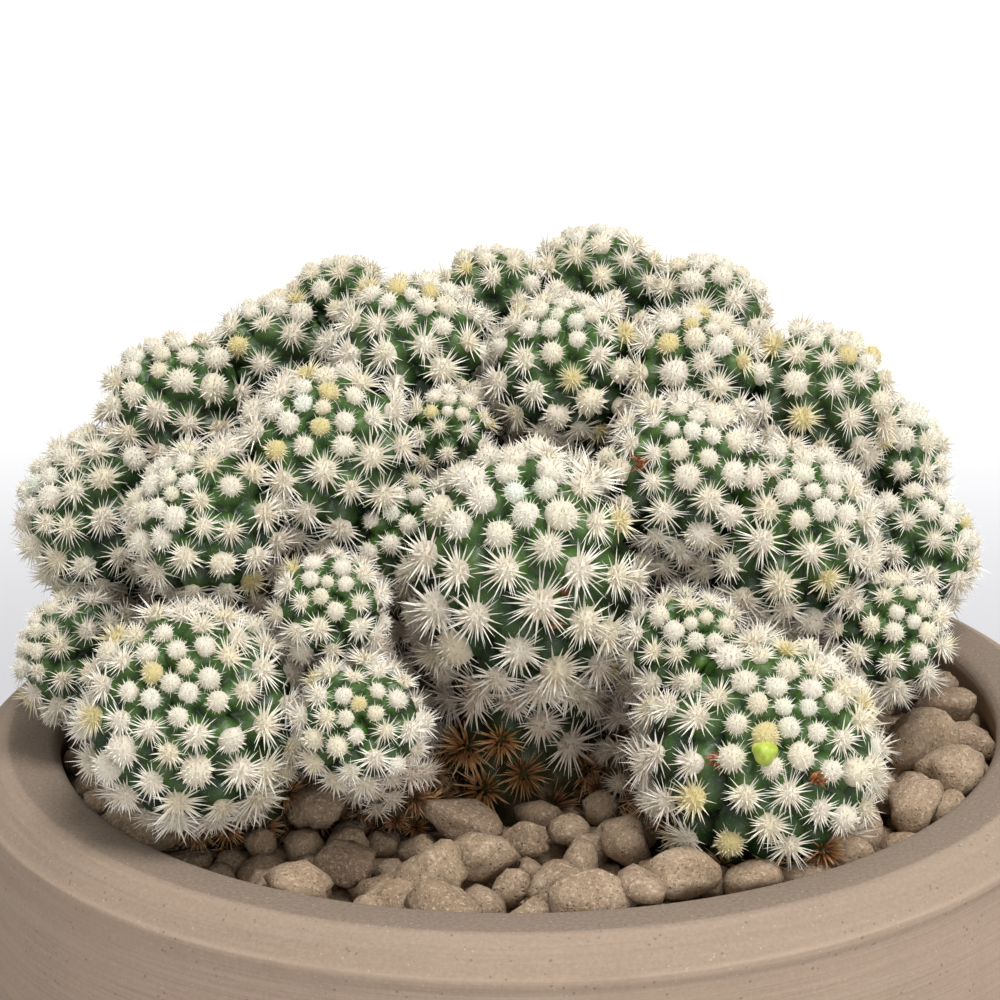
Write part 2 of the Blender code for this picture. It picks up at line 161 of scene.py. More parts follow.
class Paint:
    """A material under way: a Principled surface and the nodes that feed it."""

    def __init__(self, name, **fixed):
        self.material = bpy.data.materials.new(name)
        self.material.use_nodes = True
        self.tree = self.material.node_tree
        self.surface = self.tree.nodes["Principled BSDF"]
        for socket, number in fixed.items():
            label = socket.replace("_", " ").title().replace("Ior", "IOR")
            self.surface.inputs[label].default_value = number

    def add(self, kind, settings, sockets, output=0):
        """Add a node: its settings first, then the values or links of its sockets."""
        node = self.tree.nodes.new(kind)
        for name, choice in settings.items():
            if name == "stops":
                self.set_stops(node.color_ramp, choice)
            else:
                setattr(node, name, choice)
        for socket, value in sockets.items():
            self.feed(node.inputs[socket], value)
        return Value(self, node.outputs[output])

    def feed(self, socket, value):
        if isinstance(value, Value):
            self.tree.links.new(value.socket, socket)
        else:
            socket.default_value = value

    def set_stops(self, ramp, stops):
        while len(ramp.elements) < len(stops):
            ramp.elements.new(1)
        for element, (place, colour) in zip(ramp.elements, stops):
            element.position = place
            element.color = (*colour, 1)

    def place(self):
        """Where a point is on the object, in metres."""
        return self.add("ShaderNodeTexCoord", {}, {}, "Object")

    def stretched(self, scale):
        """The same place with each axis scaled, for marks drawn out along an axis."""
        return self.add("ShaderNodeMapping", {}, {"Vector": self.place(), "Scale": scale})

    def axis(self, which):
        return self.add("ShaderNodeSeparateXYZ", {}, {"Vector": self.place()}, which)

    def noise(self, scale, detail=3.0, roughness=0.5, where=None):
        where = where or self.place()
        sockets = {"Vector": where, "Scale": scale, "Detail": detail, "Roughness": roughness}
        return self.add("ShaderNodeTexNoise", {}, sockets, "Fac")

    def cells(self, scale):
        """Distance from scattered points, for grains and pits."""
        return self.add("ShaderNodeTexVoronoi", {}, {"Vector": self.place(), "Scale": scale}, "Distance")

    def attribute(self, name):
        return self.add("ShaderNodeAttribute", {"attribute_name": name}, {}, "Fac")

    def between(self, value, low, high, start=0.0, end=1.0):
        """value from low to high, smoothly turned into start to end."""
        sockets = {"Value": value, "From Min": low, "From Max": high, "To Min": start, "To Max": end}
        return self.add("ShaderNodeMapRange", {"interpolation_type": "SMOOTHSTEP"}, sockets)

    def ramp(self, value, *stops):
        return self.add("ShaderNodeValToRGB", {"stops": stops}, {"Fac": value})

    def mixed(self, share, first, second):
        """Two colours, with this share of the second."""
        first, second = (c if isinstance(c, Value) else (*c, 1) for c in (first, second))
        return self.add("ShaderNodeMix", {"data_type": "RGBA"}, {0: share, 6: first, 7: second}, 2)

    def bump(self, height, strength, distance):
        sockets = {"Height": height, "Strength": strength, "Distance": distance}
        return self.add("ShaderNodeBump", {}, sockets)

    def finish(self, colour, roughness, normal=None):
        """Feed the surface and hand over the material."""
        self.feed(self.surface.inputs["Base Color"], colour)
        self.feed(self.surface.inputs["Roughness"], roughness)
        if normal:
            self.feed(self.surface.inputs["Normal"], normal)
        return self.material


def turned_clay():
    """Matt taupe clay: turning lines round the bowl, cloudy patches, fine grog, a darker rim and painted
    shade down the inside wall.
    """
    paint = Paint("turned_clay_finish", specular_ior_level=0.25)
    clouds = paint.noise(22, 4, 0.6)
    turning = paint.noise(1, 3, 0.6, paint.stretched((14, 14, 950)))
    fine_turning = paint.noise(1, 2, 0.5, paint.stretched((30, 30, 2600)))
    scrapes = paint.noise(1, 2, 0.5, paint.stretched((75, 75, 4)))
    grain = paint.noise(1400, 3, 0.7)
    colour = paint.ramp(
        clouds, (0.30, (0.312, 0.229, 0.162)), (0.52, (0.348, 0.255, 0.183)), (0.72, (0.385, 0.276, 0.200))
    )
    colour = paint.mixed(paint.between(turning, 0.44, 0.66, 0, 0.3), colour, (0.43, 0.34, 0.265))
    colour = paint.mixed(paint.between(fine_turning, 0.5, 0.68, 0, 0.2), colour, (0.20, 0.145, 0.105))

    x, y, z = paint.axis("X"), paint.axis("Y"), paint.axis("Z")
    reach = (x * x + y * y) ** 0.5
    flat_edge = OPENING + LIP_ROUND + RIM_FLAT
    scraped = paint.between(scrapes, 0.50, 0.66, 0, 0.2) * (z < RIM - RIM_FALL)
    colour = paint.mixed(scraped, colour, (0.26, 0.19, 0.14))
    on_top = paint.between(z, RIM - 2.2 * MM, RIM - 1.2 * MM)
    on_flat = on_top * paint.between(reach, flat_edge + 0.6 * MM, flat_edge - 0.8 * MM)
    colour = paint.mixed(on_flat * 0.85, colour, (0.168, 0.129, 0.097))
    on_slope = paint.between(z, RIM - RIM_FALL - 0.6 * MM, RIM - RIM_FALL) * (reach > flat_edge)
    colour = paint.mixed(on_slope * 0.4, colour, (0.225, 0.168, 0.122))
    inner_wall = (reach < OPENING + 8 * MM) * (z > SOIL - 10 * MM)
    # painted shade: the inside wall darkens from 6 mm to 16 mm under the rim and stays dark down to the
    # soil, where the rim keeps the light off
    painted_inner_shade = paint.between(z, RIM - 6 * MM, RIM - 16 * MM) * inner_wall
    colour = paint.mixed(painted_inner_shade * 0.6, colour, (0.11, 0.075, 0.052))

    dark_grog = paint.between(paint.cells(620), 0.20, 0.12, 0, 0.55) * (paint.noise(160, 2) > 0.52)
    pale_grog = paint.between(paint.cells(830), 0.16, 0.10, 0, 0.5) * (paint.noise(210, 2) > 0.55)
    colour = paint.mixed(dark_grog, colour, (0.13, 0.09, 0.065))
    colour = paint.mixed(pale_grog, colour, (0.55, 0.46, 0.37))
    colour = paint.mixed(paint.between(grain, 0.35, 0.7, 0, 0.2), colour, (0.48, 0.39, 0.31))
    relief = turning * 0.5 + fine_turning * 0.25 + grain * 0.35
    roughness = paint.between(clouds, 0.3, 0.7, 0.78, 0.92)
    return paint.finish(colour, roughness, paint.bump(relief, 0.55, 0.35 * MM))


def cactus_flesh():
    """Waxy green skin with pale pinprick dots: painted shade darkens it between the warts, fresh near a
    head's top.
    """
    paint = Paint("cactus_flesh_finish", specular_ior_level=0.4, subsurface_weight=0.06)
    paint.surface.inputs["Subsurface Radius"].default_value = (0.4, 1.0, 0.2)
    paint.surface.inputs["Subsurface Scale"].default_value = 1.2 * MM
    lift = paint.attribute("lift")
    youth = paint.attribute("youth")
    patches = paint.noise(260, 3, 0.6)
    # painted shade: both greens run from near black in the valleys between the warts up to full green at
    # their tips
    old = paint.ramp(
        lift, (0.05, (0.002, 0.005, 0.002)), (0.5, (0.009, 0.028, 0.007)), (1.0, (0.027, 0.062, 0.013))
    )
    young = paint.ramp(
        lift, (0.05, (0.005, 0.018, 0.002)), (0.5, (0.030, 0.084, 0.009)), (1.0, (0.090, 0.170, 0.026))
    )
    green = paint.mixed(youth, old, young)
    green = paint.mixed(paint.between(patches, 0.48, 0.75, 0, 0.3), green, (0.070, 0.110, 0.016))
    brown = paint.mixed(paint.attribute("old"), green, (0.10, 0.062, 0.030))
    dots = paint.between(paint.cells(2300), 0.26, 0.16) * (lift > 0.2)
    colour = paint.mixed(dots * 0.22, brown, (0.36, 0.46, 0.28))
    relief = paint.noise(1500, 3, 0.6) * 0.6 + dots * 0.5
    roughness = paint.between(patches, 0.3, 0.7, 0.34, 0.5)
    return paint.finish(colour, roughness, paint.bump(relief, 0.5, 0.12 * MM))


def wool():
    """The felted cushion under each tuft of spines: white when young, beige when old, some yellow."""
    paint = Paint("areole_wool", specular_ior_level=0.1, sheen_weight=0.3)
    fluff = paint.noise(2600, 4, 0.75)
    age = paint.attribute("age")
    aged = paint.mixed(paint.between(age, 0, 1), (0.82, 0.77, 0.65), (0.70, 0.60, 0.49))
    aged = paint.mixed(paint.between(age, -0.1, -0.6), aged, (0.79, 0.87, 0.77))
    tinted = paint.mixed(paint.attribute("yellow"), aged, (0.66, 0.55, 0.20))
    colour = paint.mixed(paint.between(fluff, 0.35, 0.7, 0.3, 0), tinted, (0.42, 0.34, 0.24))
    return paint.finish(colour, 0.95, paint.bump(fluff, 1.0, 0.25 * MM))


def spine_ivory():
    """Spines: white to ivory along most of their length, a touch darker where they spring."""
    paint = Paint("ivory_spine", specular_ior_level=0.35)
    along = paint.attribute("along")
    streaks = paint.noise(900, 3, 0.6)
    age = paint.attribute("age")
    fresh = paint.ramp(
        along, (0.0, (0.78, 0.71, 0.58)), (0.4, (0.86, 0.81, 0.71)), (1.0, (0.90, 0.89, 0.86))
    )
    dull = paint.ramp(
        along, (0.0, (0.60, 0.49, 0.39)), (0.4, (0.72, 0.63, 0.54)), (1.0, (0.84, 0.79, 0.73))
    )
    aged = paint.mixed(paint.between(age, 0, 1), fresh, dull)
    aged = paint.mixed(paint.between(age, -0.1, -0.6), aged, (0.84, 0.92, 0.82))
    tinted = paint.mixed(paint.attribute("yellow") * 0.6, aged, (0.74, 0.64, 0.30))
    colour = paint.mixed(paint.between(streaks, 0.4, 0.75, 0, 0.15), tinted, (0.66, 0.58, 0.48))
    roughness = paint.between(streaks, 0.3, 0.7, 0.42, 0.6)
    return paint.finish(colour, roughness, paint.bump(streaks, 0.2, 0.05 * MM))


def dead_spine():
    """Dead spines at the foot of old heads: dark brown to golden."""
    paint = Paint("dead_spine_brown", specular_ior_level=0.25)
    along = paint.attribute("along")
    dark = paint.ramp(
        along, (0.0, (0.08, 0.034, 0.014)), (0.45, (0.27, 0.130, 0.060)), (1.0, (0.60, 0.41, 0.25))
    )
    gold = paint.ramp(
        along, (0.0, (0.32, 0.13, 0.035)), (0.45, (0.62, 0.34, 0.13)), (1.0, (0.86, 0.66, 0.42))
    )
    colour = paint.mixed(paint.attribute("yellow"), dark, gold)
    streaks = paint.noise(700, 3, 0.6)
    colour = paint.mixed(paint.between(streaks, 0.4, 0.7, 0, 0.4), colour, (0.09, 0.045, 0.02))
    roughness = paint.between(streaks, 0.3, 0.7, 0.5, 0.75)
    return paint.finish(colour, roughness, paint.bump(streaks, 0.3, 0.06 * MM))


def dry_flower():
    """Shrivelled flowers: papery brown folds."""
    paint = Paint("dry_flower_brown", specular_ior_level=0.2)
    folds = paint.noise(900, 4, 0.7)
    colour = paint.ramp(
        folds, (0.32, (0.05, 0.014, 0.006)), (0.52, (0.26, 0.10, 0.035)), (0.72, (0.58, 0.34, 0.17))
    )
    roughness = paint.between(folds, 0.3, 0.7, 0.6, 0.85)
    return paint.finish(colour, roughness, paint.bump(folds, 0.9, 0.3 * MM))


def fruit_skin():
    """A ripening fruit: lime green and smooth, with yellow patches."""
    paint = Paint("fruit_lime", specular_ior_level=0.5, subsurface_weight=0.1)
    paint.surface.inputs["Subsurface Scale"].default_value = 1.5 * MM
    patches = paint.noise(480, 3, 0.6)
    colour = paint.ramp(
        patches, (0.30, (0.24, 0.36, 0.03)), (0.52, (0.44, 0.54, 0.07)), (0.75, (0.66, 0.70, 0.20))
    )
    roughness = paint.between(patches, 0.3, 0.7, 0.35, 0.5)
    return paint.finish(colour, roughness, paint.bump(patches, 0.3, 0.15 * MM))


def pumice():
    """Tan pumice: chalky, with pits darkened by painted shade, dark mineral specks, and each stone its own
    tone.
    """
    paint = Paint("pumice_tan", specular_ior_level=0.15)
    tone = paint.attribute("tone")
    clouds = paint.noise(150, 4, 0.65)
    grit = paint.noise(1300, 4, 0.75)
    pits = paint.cells(900)
    base = paint.ramp(
        clouds, (0.28, (0.27, 0.188, 0.118)), (0.5, (0.36, 0.262, 0.172)), (0.72, (0.46, 0.355, 0.250))
    )
    base = paint.mixed(tone * 0.6, base, (0.24, 0.165, 0.108))
    pale = paint.mixed(paint.between(grit, 0.52, 0.66, 0, 0.7), base, (0.62, 0.50, 0.375))
    pale = paint.mixed(paint.between(grit, 0.46, 0.34, 0, 0.7), pale, (0.20, 0.14, 0.095))
    dark_specks = paint.between(paint.cells(1900), 0.27, 0.17) * (paint.noise(340, 3) > 0.43)
    colour = paint.mixed(dark_specks * 0.75, pale, (0.075, 0.050, 0.036))
    # painted shade: the pits darken towards their middles, where shade falls
    colour = paint.mixed(paint.between(pits, 0.22, 0.08, 0, 0.45), colour, (0.17, 0.11, 0.075))
    relief = grit * 0.7 + paint.between(pits, 0.05, 0.3) * 0.5 + clouds * 0.8
    roughness = paint.between(clouds, 0.3, 0.7, 0.85, 0.97)
    return paint.finish(colour, roughness, paint.bump(relief, 0.8, 0.45 * MM))


def potting_soil():
    """Dark crumbly soil."""
    paint = Paint("soil_dark", specular_ior_level=0.2)
    crumbs = paint.noise(420, 5, 0.75)
    colour = paint.ramp(
        crumbs, (0.30, (0.008, 0.005, 0.004)), (0.52, (0.035, 0.022, 0.014)), (0.75, (0.11, 0.07, 0.042))
    )
    roughness = paint.between(crumbs, 0.3, 0.7, 0.85, 0.98)
    return paint.finish(colour, roughness, paint.bump(crumbs, 1.0, 1.2 * MM))


def mesh_plastic():
    """Black moulded plastic with a slight grain."""
    paint = Paint("drain_mesh_black", specular_ior_level=0.4)
    grain = paint.noise(1800, 2, 0.5)
    colour = paint.ramp(grain, (0.3, (0.012, 0.012, 0.013)), (0.7, (0.030, 0.030, 0.032)))
    roughness = paint.between(grain, 0.3, 0.7, 0.45, 0.6)
    return paint.finish(colour, roughness, paint.bump(grain, 0.2, 0.05 * MM))


def studio_white():
    """The pale floor, grey near the bowl and white far behind it, where it also glows: painted shade and
    painted light for the fall of light on a studio backdrop.
    """
    paint = Paint("studio_floor", specular_ior_level=0.1)
    cloud = paint.noise(3, 2, 0.5)
    near = paint.ramp(cloud, (0.3, (0.585, 0.585, 0.61)), (0.7, (0.60, 0.60, 0.62)))
    far = paint.between(paint.axis("Y"), 0.22, 0.60)
    # painted light: the floor far behind the bowl glows and is painted whiter, and the floor near the bowl
    # is painted greyer
    paint.surface.inputs["Emission Strength"].default_value = 1.0
    paint.feed(paint.surface.inputs["Emission Color"], paint.mixed(far, (0, 0, 0), (0.32, 0.32, 0.32)))
    return paint.finish(paint.mixed(far, near, (0.86, 0.86, 0.86)), 0.9)


# ---------------------------------------------------------------- helpers

def add_piece(name, bm, surface, stands_for=(), smooth=True):
    """Finish a bmesh as a piece of the plant, riding with the frame."""
    for face in bm.faces:
        face.smooth = smooth
    mesh = bpy.data.meshes.new(name)
    bm.to_mesh(mesh)
    bm.free()
    mesh.materials.append(surface)
    piece = bpy.data.objects.new(name, mesh)
    bpy.context.scene.collection.objects.link(piece)
    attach(piece, ROOT)
    if stands_for:
        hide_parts(*stands_for)


def turned(profile, sides):
    """Spin a closed outline of (radius, height) points round the z axis, welded and facing outwards."""
    bm = bmesh.new()
    verts = [bm.verts.new((radius, 0, height)) for radius, height in profile]
    edges = [bm.edges.new((a, b)) for a, b in zip(verts, verts[1:])]
    if profile[0][0] > 0:
        edges.append(bm.edges.new((verts[-1], verts[0])))
    bmesh.ops.spin(
        bm, geom=verts + edges, axis=(0, 0, 1), cent=(0, 0, 0), angle=math.tau, steps=sides, use_merge=True
    )
    bmesh.ops.remove_doubles(bm, verts=bm.verts, dist=1e-6)
    bmesh.ops.recalc_face_normals(bm, faces=bm.faces)
    return bm


def rounded(points, reach, steps=4):
    """An outline with each marked corner turned into a small arc. points are (radius, height, corner)."""
    outline = []
    for index, (radius, height, corner) in enumerate(points):
        here = Vector((radius, height))
        if not corner:
            outline.append(tuple(here))
            continue
        before = Vector(points[index - 1][:2]) - here
        after = Vector(points[(index + 1) % len(points)][:2]) - here
        size = min(reach * corner, before.length * 0.45, after.length * 0.45)
        start, end = here + before.normalized() * size, here + after.normalized() * size
        for step in range(steps + 1):
            share = step / steps
            outline.append(tuple(start.lerp(here, share).lerp(here.lerp(end, share), share)))
    return outline


# ---------------------------------------------------------------- bowl and soil

def bowl_outline():
    """The clay's outline, from the drain hole out under the foot, up the outside and down the inside."""
    belly = RIM - BELLY_DROP
    rim_outside = OPENING + LIP_ROUND + RIM_FLAT
    ridge = rim_outside + RIM_SLOPE
    ridge_height = RIM - RIM_FALL
    points = [
        (DRAIN_RADIUS, FOOT_RING_HEIGHT, 1),
        (FOOT_RADIUS - FOOT_RING_WIDTH, FOOT_RING_HEIGHT, 1),
        (FOOT_RADIUS - FOOT_RING_WIDTH, 0, 1),
        (FOOT_RADIUS, 0, 1),
    ]
    start = math.radians(30)
    for step in range(15):
        turn = start + (math.radians(90) - start) * step / 14
        radius = BELLY_RADIUS - (BELLY_RADIUS - FOOT_RADIUS) * (1 - math.sin(turn)) / (1 - math.sin(start))
        height = belly - (belly - FOOT_RING_HEIGHT) * math.cos(turn) / math.cos(start)
        points.append((radius, height, 0))
    points += [
        (BELLY_RADIUS - 0.1 * MM, belly + 6 * MM, 0),
        (BELLY_RADIUS - 0.4 * MM, belly + 12 * MM, 0),
        (BELLY_RADIUS - 0.9 * MM, belly + 18 * MM, 0),
        (ridge + 0.4 * MM, ridge_height - 3.0 * MM, 1),
        (ridge + 0.9 * MM, ridge_height - 1.7 * MM, 0.6),
        (ridge + 0.8 * MM, ridge_height - 0.5 * MM, 0.6),
        (ridge - 0.1 * MM, ridge_height + 0.1 * MM, 0.6),
        (rim_outside + RIM_SLOPE * 0.45, RIM - RIM_FALL * 0.30, 2),
        (rim_outside, RIM - 0.1 * MM, 0.8),
        (rim_outside - 3 * MM, RIM, 0),
        (OPENING + LIP_ROUND, RIM - 0.1 * MM, 1),
        (OPENING, RIM - LIP_ROUND, 1),
        (OPENING + 0.3 * MM, RIM - 5 * MM, 0),
    ]
    inner_belly = BELLY_RADIUS - WALL
    corner = FOOT_RADIUS - WALL / 2
    for step in range(1, 17):
        turn = math.radians(90) * step / 16
        radius = corner + (inner_belly - corner) * math.cos(turn)
        points.append((radius, belly - (belly - FLOOR) * math.sin(turn), 0))
    points.append((DRAIN_RADIUS, FLOOR, 1))
    return rounded(points, 1.0 * MM)


BOWL_SIDES = 216
BOWL_SWAY = 0.0009         # how far the hand-turned wall strays inwards, against its radius


def make_bowl():
    """The clay bowl, turned by hand, so not perfectly round."""
    bm = turned(bowl_outline(), BOWL_SIDES)
    seed = random.Random(3)
    waves = [(seed.uniform(0.5, 1), seed.randint(2, 5), seed.uniform(0, math.tau)) for _ in range(4)]
    for vert in bm.verts:
        if vert.co.z < FOOT_RING_HEIGHT * 1.5:
            continue
        angle = math.atan2(vert.co.y, vert.co.x)
        sway = sum(size * math.sin(count * angle + start) for size, count, start in waves)
        vert.co.xy *= 1 - BOWL_SWAY * (1 + sway / 4)
    add_piece("clay_bowl", bm, turned_clay(), ["bowl"])


SOIL_CRUMBS = 700


def make_soil(surface):
    """Crumbs of soil that lie on the packed soil between the stones."""
    chance = random.Random(11)
    bm = bmesh.new()
    for _ in range(SOIL_CRUMBS):
        reach = OPENING * math.sqrt(chance.uniform(0.02, 0.98))
        angle = chance.uniform(0, math.tau)
        size = chance.uniform(0.6, 1.9) * MM
        place = Vector((reach * math.cos(angle), reach * math.sin(angle), SOIL + size * 0.3))
        turn = Quaternion((chance.random(), chance.random(), chance.random(), chance.random())).to_matrix()
        flattened = Matrix.Diagonal((size, size * 0.8, size * 0.6, 1))
        shape = Matrix.Translation(place) @ turn.to_4x4() @ flattened
        bmesh.ops.create_icosphere(bm, subdivisions=1, radius=1, matrix=shape)
    bmesh.ops.recalc_face_normals(bm, faces=bm.faces)
    add_piece("soil_crumbs", bm, surface)
    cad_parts["soil"].data.materials.clear()
    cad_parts["soil"].data.materials.append(surface)


# ---------------------------------------------------------------- heads

class Head:
    """One head of the clump with its stem, bent from its top down to the soil."""

    def __init__(self, node, place, radius, length, look, spacing):
        self.node = node
        self.middle = Vector((place[0] * OPENING, place[1] * OPENING, RIM + place[2] * MM))
        self.radius = radius * MM
        self.length = length
        self.look = Vector(look).normalized()
        self.spacing = spacing * MM
        right, back = OWN_LEAN.get(node, (STEM_LEAN, STEM_LEAN))
        self.foot = Vector((self.middle.x * right, self.middle.y * back, SOIL))
        self.stem = (self.middle - self.foot).length * 1.04
        self.elbow = self.middle - self.look * self.stem * 0.42
        self.walls = []
        self.seed = random.Random(node)
        along = np.linspace(0, 1, 9)
        self.line = self.bend(np.stack([along * 0, along * 0, -along * self.stem], 1))
        self.girth = self.radius * np.where(along == 0, 1, NECK * (1 - STEM_TAPER * along))

    def profile(self, angle):
        """(radius, height) on the straightened head at an angle from its top."""
        return self.radius * math.sin(angle), self.radius * self.length * math.cos(angle)

    def outline(self, step):
        """Evenly spaced (radius, height) from the top down to the foot of the stem."""
        points = []
        neck = math.pi - math.asin(NECK)
        count = max(8, round(neck * self.radius / step))
        for index in range(count + 1):
            points.append(self.profile(neck * index / count))
        low = points[-1][1]
        rest = max(0, self.stem + low)
        count = max(2, round(rest / (step * 1.6)))
        for index in range(1, count + 1):
            share = index / count
            points.append((self.radius * NECK * (1 - STEM_TAPER * share), low - rest * share))
        return points

    def bend(self, points):
        """Places of points of the straightened head, once it is bent along its stem."""
        points = np.asarray(points, float)
        share = np.clip(-points[:, 2] / self.stem, 0, 1)[:, None]
        middle, elbow, foot = (np.array(p) for p in (self.middle, self.elbow, self.foot))
        centre = (1 - share) ** 2 * middle + 2 * (1 - share) * share * elbow + share ** 2 * foot
        down = 2 * (1 - share) * (elbow - middle) + 2 * share * (foot - elbow)
        up = -down / np.linalg.norm(down, axis=1, keepdims=True)
        right, back, look = np.array(self.look.to_track_quat("Z", "Y").to_matrix()).T
        side = points[:, :1] * right + points[:, 1:2] * back
        axis = np.cross(look, up)
        cosine = (up * look).sum(1, keepdims=True)
        turned_side = side * cosine + np.cross(axis, side)
        turned_side += axis * (axis * side).sum(1, keepdims=True) / (1 + cosine)
        above = np.maximum(points[:, 2:3], 0)
        return centre + turned_side + above * look

    def lay_out_warts(self):
        """Places of the warts on the straightened head: a golden-angle spiral, tighter at the top."""
        outline = np.array(self.outline(0.3 * MM))
        runs = np.linalg.norm(np.diff(outline, axis=0), axis=1)
        middles = (outline[1:] + outline[:-1]) / 2
        travelled = np.cumsum(runs)
        pitch = self.spacing * np.clip(0.56 + 0.48 * travelled / self.radius, 0.56, 1.12)
        share = np.cumsum(math.tau * middles[:, 0] * runs / (pitch ** 2 * 0.87))
        warts = []
        turn = self.seed.uniform(0, math.tau)
        index = 0
        while index + 0.5 < share[-1]:
            place = np.searchsorted(share, index + 0.5)
            radius, height = middles[place]
            slope = outline[place + 1] - outline[place]
            slope /= np.linalg.norm(slope)
            angle = turn + index * GOLDEN_ANGLE + self.seed.uniform(-0.09, 0.09)
            outward = np.array((-slope[1] * math.cos(angle), -slope[1] * math.sin(angle), slope[0]))
            base = np.array((radius * math.cos(angle), radius * math.sin(angle), height))
            warts.append({"base": base, "out": outward, "pitch": pitch[place], "travel": travelled[place]})
            index += 1
        self.warts = warts

    def lift_of(self, points):
        """How far up a wart each point stands, from 0 in the valleys to 1 at the tips, and its pitch."""
        tips = np.array([wart["base"] for wart in self.warts])
        pitch = np.array([wart["pitch"] for wart in self.warts])
        apart = np.linalg.norm(points[:, None, :] - tips[None], axis=2) / pitch[None]
        nearest = apart.argmin(1)
        closest = apart[np.arange(len(points)), nearest]
        lift = np.clip(1 - (closest / WART_REACH) ** 2, 0, 1) ** 0.75
        return lift, pitch[nearest]

    def holds(self, points, margin=0.0):
        """Which points lie inside this head or its stem, or within a margin of them."""
        apart = np.linalg.norm(points[:, None] - self.line[None], axis=2)
        return (apart < self.girth[None] + margin).any(1)

    def press(self, points):
        """Push points back behind the flat walls where neighbours press on this head."""
        for place, normal, other in self.walls:
            beyond = np.maximum((points - place) @ normal, 0)
            beyond[~other.holds(points, GAP)] = 0
            points -= beyond[:, None] * normal
        return points


def wart_height(pitch):
    """How high a wart stands, from the distance to the next ones."""
    return np.minimum(pitch * WART_HEIGHT, HIGHEST_WART)


def parting_walls(heads):
    """Find the flat place where each pair of heads that meet press on each other."""
    for index, first in enumerate(heads):
        for second in heads[index + 1:]:
            if (first.middle - second.middle).length > (first.radius + second.radius) * 1.5:
                continue
            share = first.radius / (first.radius + second.radius)
            middle = first.middle.lerp(second.middle, share)
            along = (middle - first.foot.lerp(second.foot, share)).normalized()
            across = second.middle - first.middle
            normal = (across - along * across.dot(along)).normalized()
            first.walls.append((np.array(middle - normal * GAP / 2), np.array(normal), second))
            second.walls.append((np.array(middle + normal * GAP / 2), np.array(-normal), first))


def make_flesh(head, surface):
    """The green body: a spun outline, raised into warts and bent along its stem."""
    step = max(0.6 * MM, head.radius * 0.064)
    outline = head.outline(step)
    sides = round(math.tau * head.radius / (step * 1.15))
    outline[0] = (0, outline[0][1])
    outline.append((0, outline[-1][1]))
    bm = turned(outline, sides)
    points = np.array([vert.co for vert in bm.verts])
    normals = np.array([vert.normal for vert in bm.verts])
    lift, pitch = head.lift_of(points)
    at_foot = -points[:, 2] / head.stem > 0.97
    raised = np.where(at_foot, 0, (lift - (1 - WART_RISE)) * wart_height(pitch))
    travel = 1 - points[:, 2] / (head.radius * head.length)
    bent = head.press(head.bend(points + normals * raised[:, None]))
    bent[:, 2] = np.maximum(bent[:, 2], SOIL + GAP)
    lift_layer = bm.verts.layers.float.new("lift")
    youth_layer = bm.verts.layers.float.new("youth")
    old_layer = bm.verts.layers.float.new("old")
    for index, vert in enumerate(bm.verts):
        vert.co = bent[index]
        vert[lift_layer] = lift[index]
        vert[youth_layer] = max(0.0, min(1.0, 1.15 - travel[index] * 1.25))
        vert[old_layer] = max(0.0, min(0.85, travel[index] * 0.6 - 1.15))
    name = head.node.replace("head", "flesh").replace("pup", "pup_flesh")
    add_piece(name, bm, surface, [head.node])


def spine(bm, along, base, direction, length, width, pale=1.0):
    """One spine: a slim three-sided spike, marked at its tip with how pale it grows."""
    turn = direction.to_track_quat("Z", "Y").to_matrix().to_4x4()
    place = Matrix.Translation(base + direction * length / 2) @ turn
    made = bmesh.ops.create_cone(
        bm, cap_ends=True, segments=3, radius1=width, radius2=0, depth=length, matrix=place
    )
    tip = max(made["verts"], key=lambda vert: (vert.co - base).length)
    tip[along] = pale


def tuft(seed, ball, rings):
    """A tuft of spines on its cushion, pointing up. Returns the meshes of its spines and its cushion.

    Each ring is (how many, least tilt, greatest tilt, how long they reach from the middle, width)."""
    chance = random.Random(seed)
    spines = bmesh.new()
    along = spines.verts.layers.float.new("along")
    for count, low, high, reach, width in rings:
        for index in range(count):
            share = (index + 0.5) / count
            spread = math.cos(math.radians(low)) * (1 - share) + math.cos(math.radians(high)) * share
            tilt = math.acos(spread) + chance.uniform(-0.09, 0.09)
            angle = index * GOLDEN_ANGLE + chance.uniform(-0.2, 0.2)
            level = math.sin(tilt)
            direction = Vector((level * math.cos(angle), level * math.sin(angle), math.cos(tilt)))
            base = direction * ball * 0.7
            length = reach * chance.uniform(0.8, 1.1) - base.length
            pale = min(1.0, max(0.25, (reach / MM - 2.2) / 1.5))
            spine(spines, along, base, direction, length, width * chance.uniform(0.85, 1.15), pale)
    spine_mesh = bpy.data.meshes.new("tuft")
    spines.to_mesh(spine_mesh)
    spines.free()
    cushion = bmesh.new()
    bmesh.ops.create_icosphere(cushion, subdivisions=2, radius=ball)
    for vert in cushion.verts:
        vert.co *= 1 + chance.uniform(-0.14, 0.10)
        vert.co.z *= 0.9
    wool_mesh = bpy.data.meshes.new("cushion")
    cushion.to_mesh(wool_mesh)
    cushion.free()
    return spine_mesh, wool_mesh


# Each kind of tuft: its cushion's radius and its rings of spines
TUFTS = {
    "star": (1.7 * MM, ((38, 38, 98, 4.5 * MM, 0.19 * MM), (44, 0, 85, 2.45 * MM, 0.21 * MM))),
    "brush": (1.95 * MM, ((44, 22, 100, 4.1 * MM, 0.19 * MM), (44, 0, 88, 2.7 * MM, 0.21 * MM))),
    "cotton": (2.25 * MM, ((18, 62, 105, 3.6 * MM, 0.17 * MM), (70, 0, 105, 2.85 * MM, 0.21 * MM))),
    "bud": (2.3 * MM, ((14, 20, 95, 3.8 * MM, 0.14 * MM), (58, 0, 100, 2.95 * MM, 0.20 * MM))),
}
TUFT_COPIES = 6


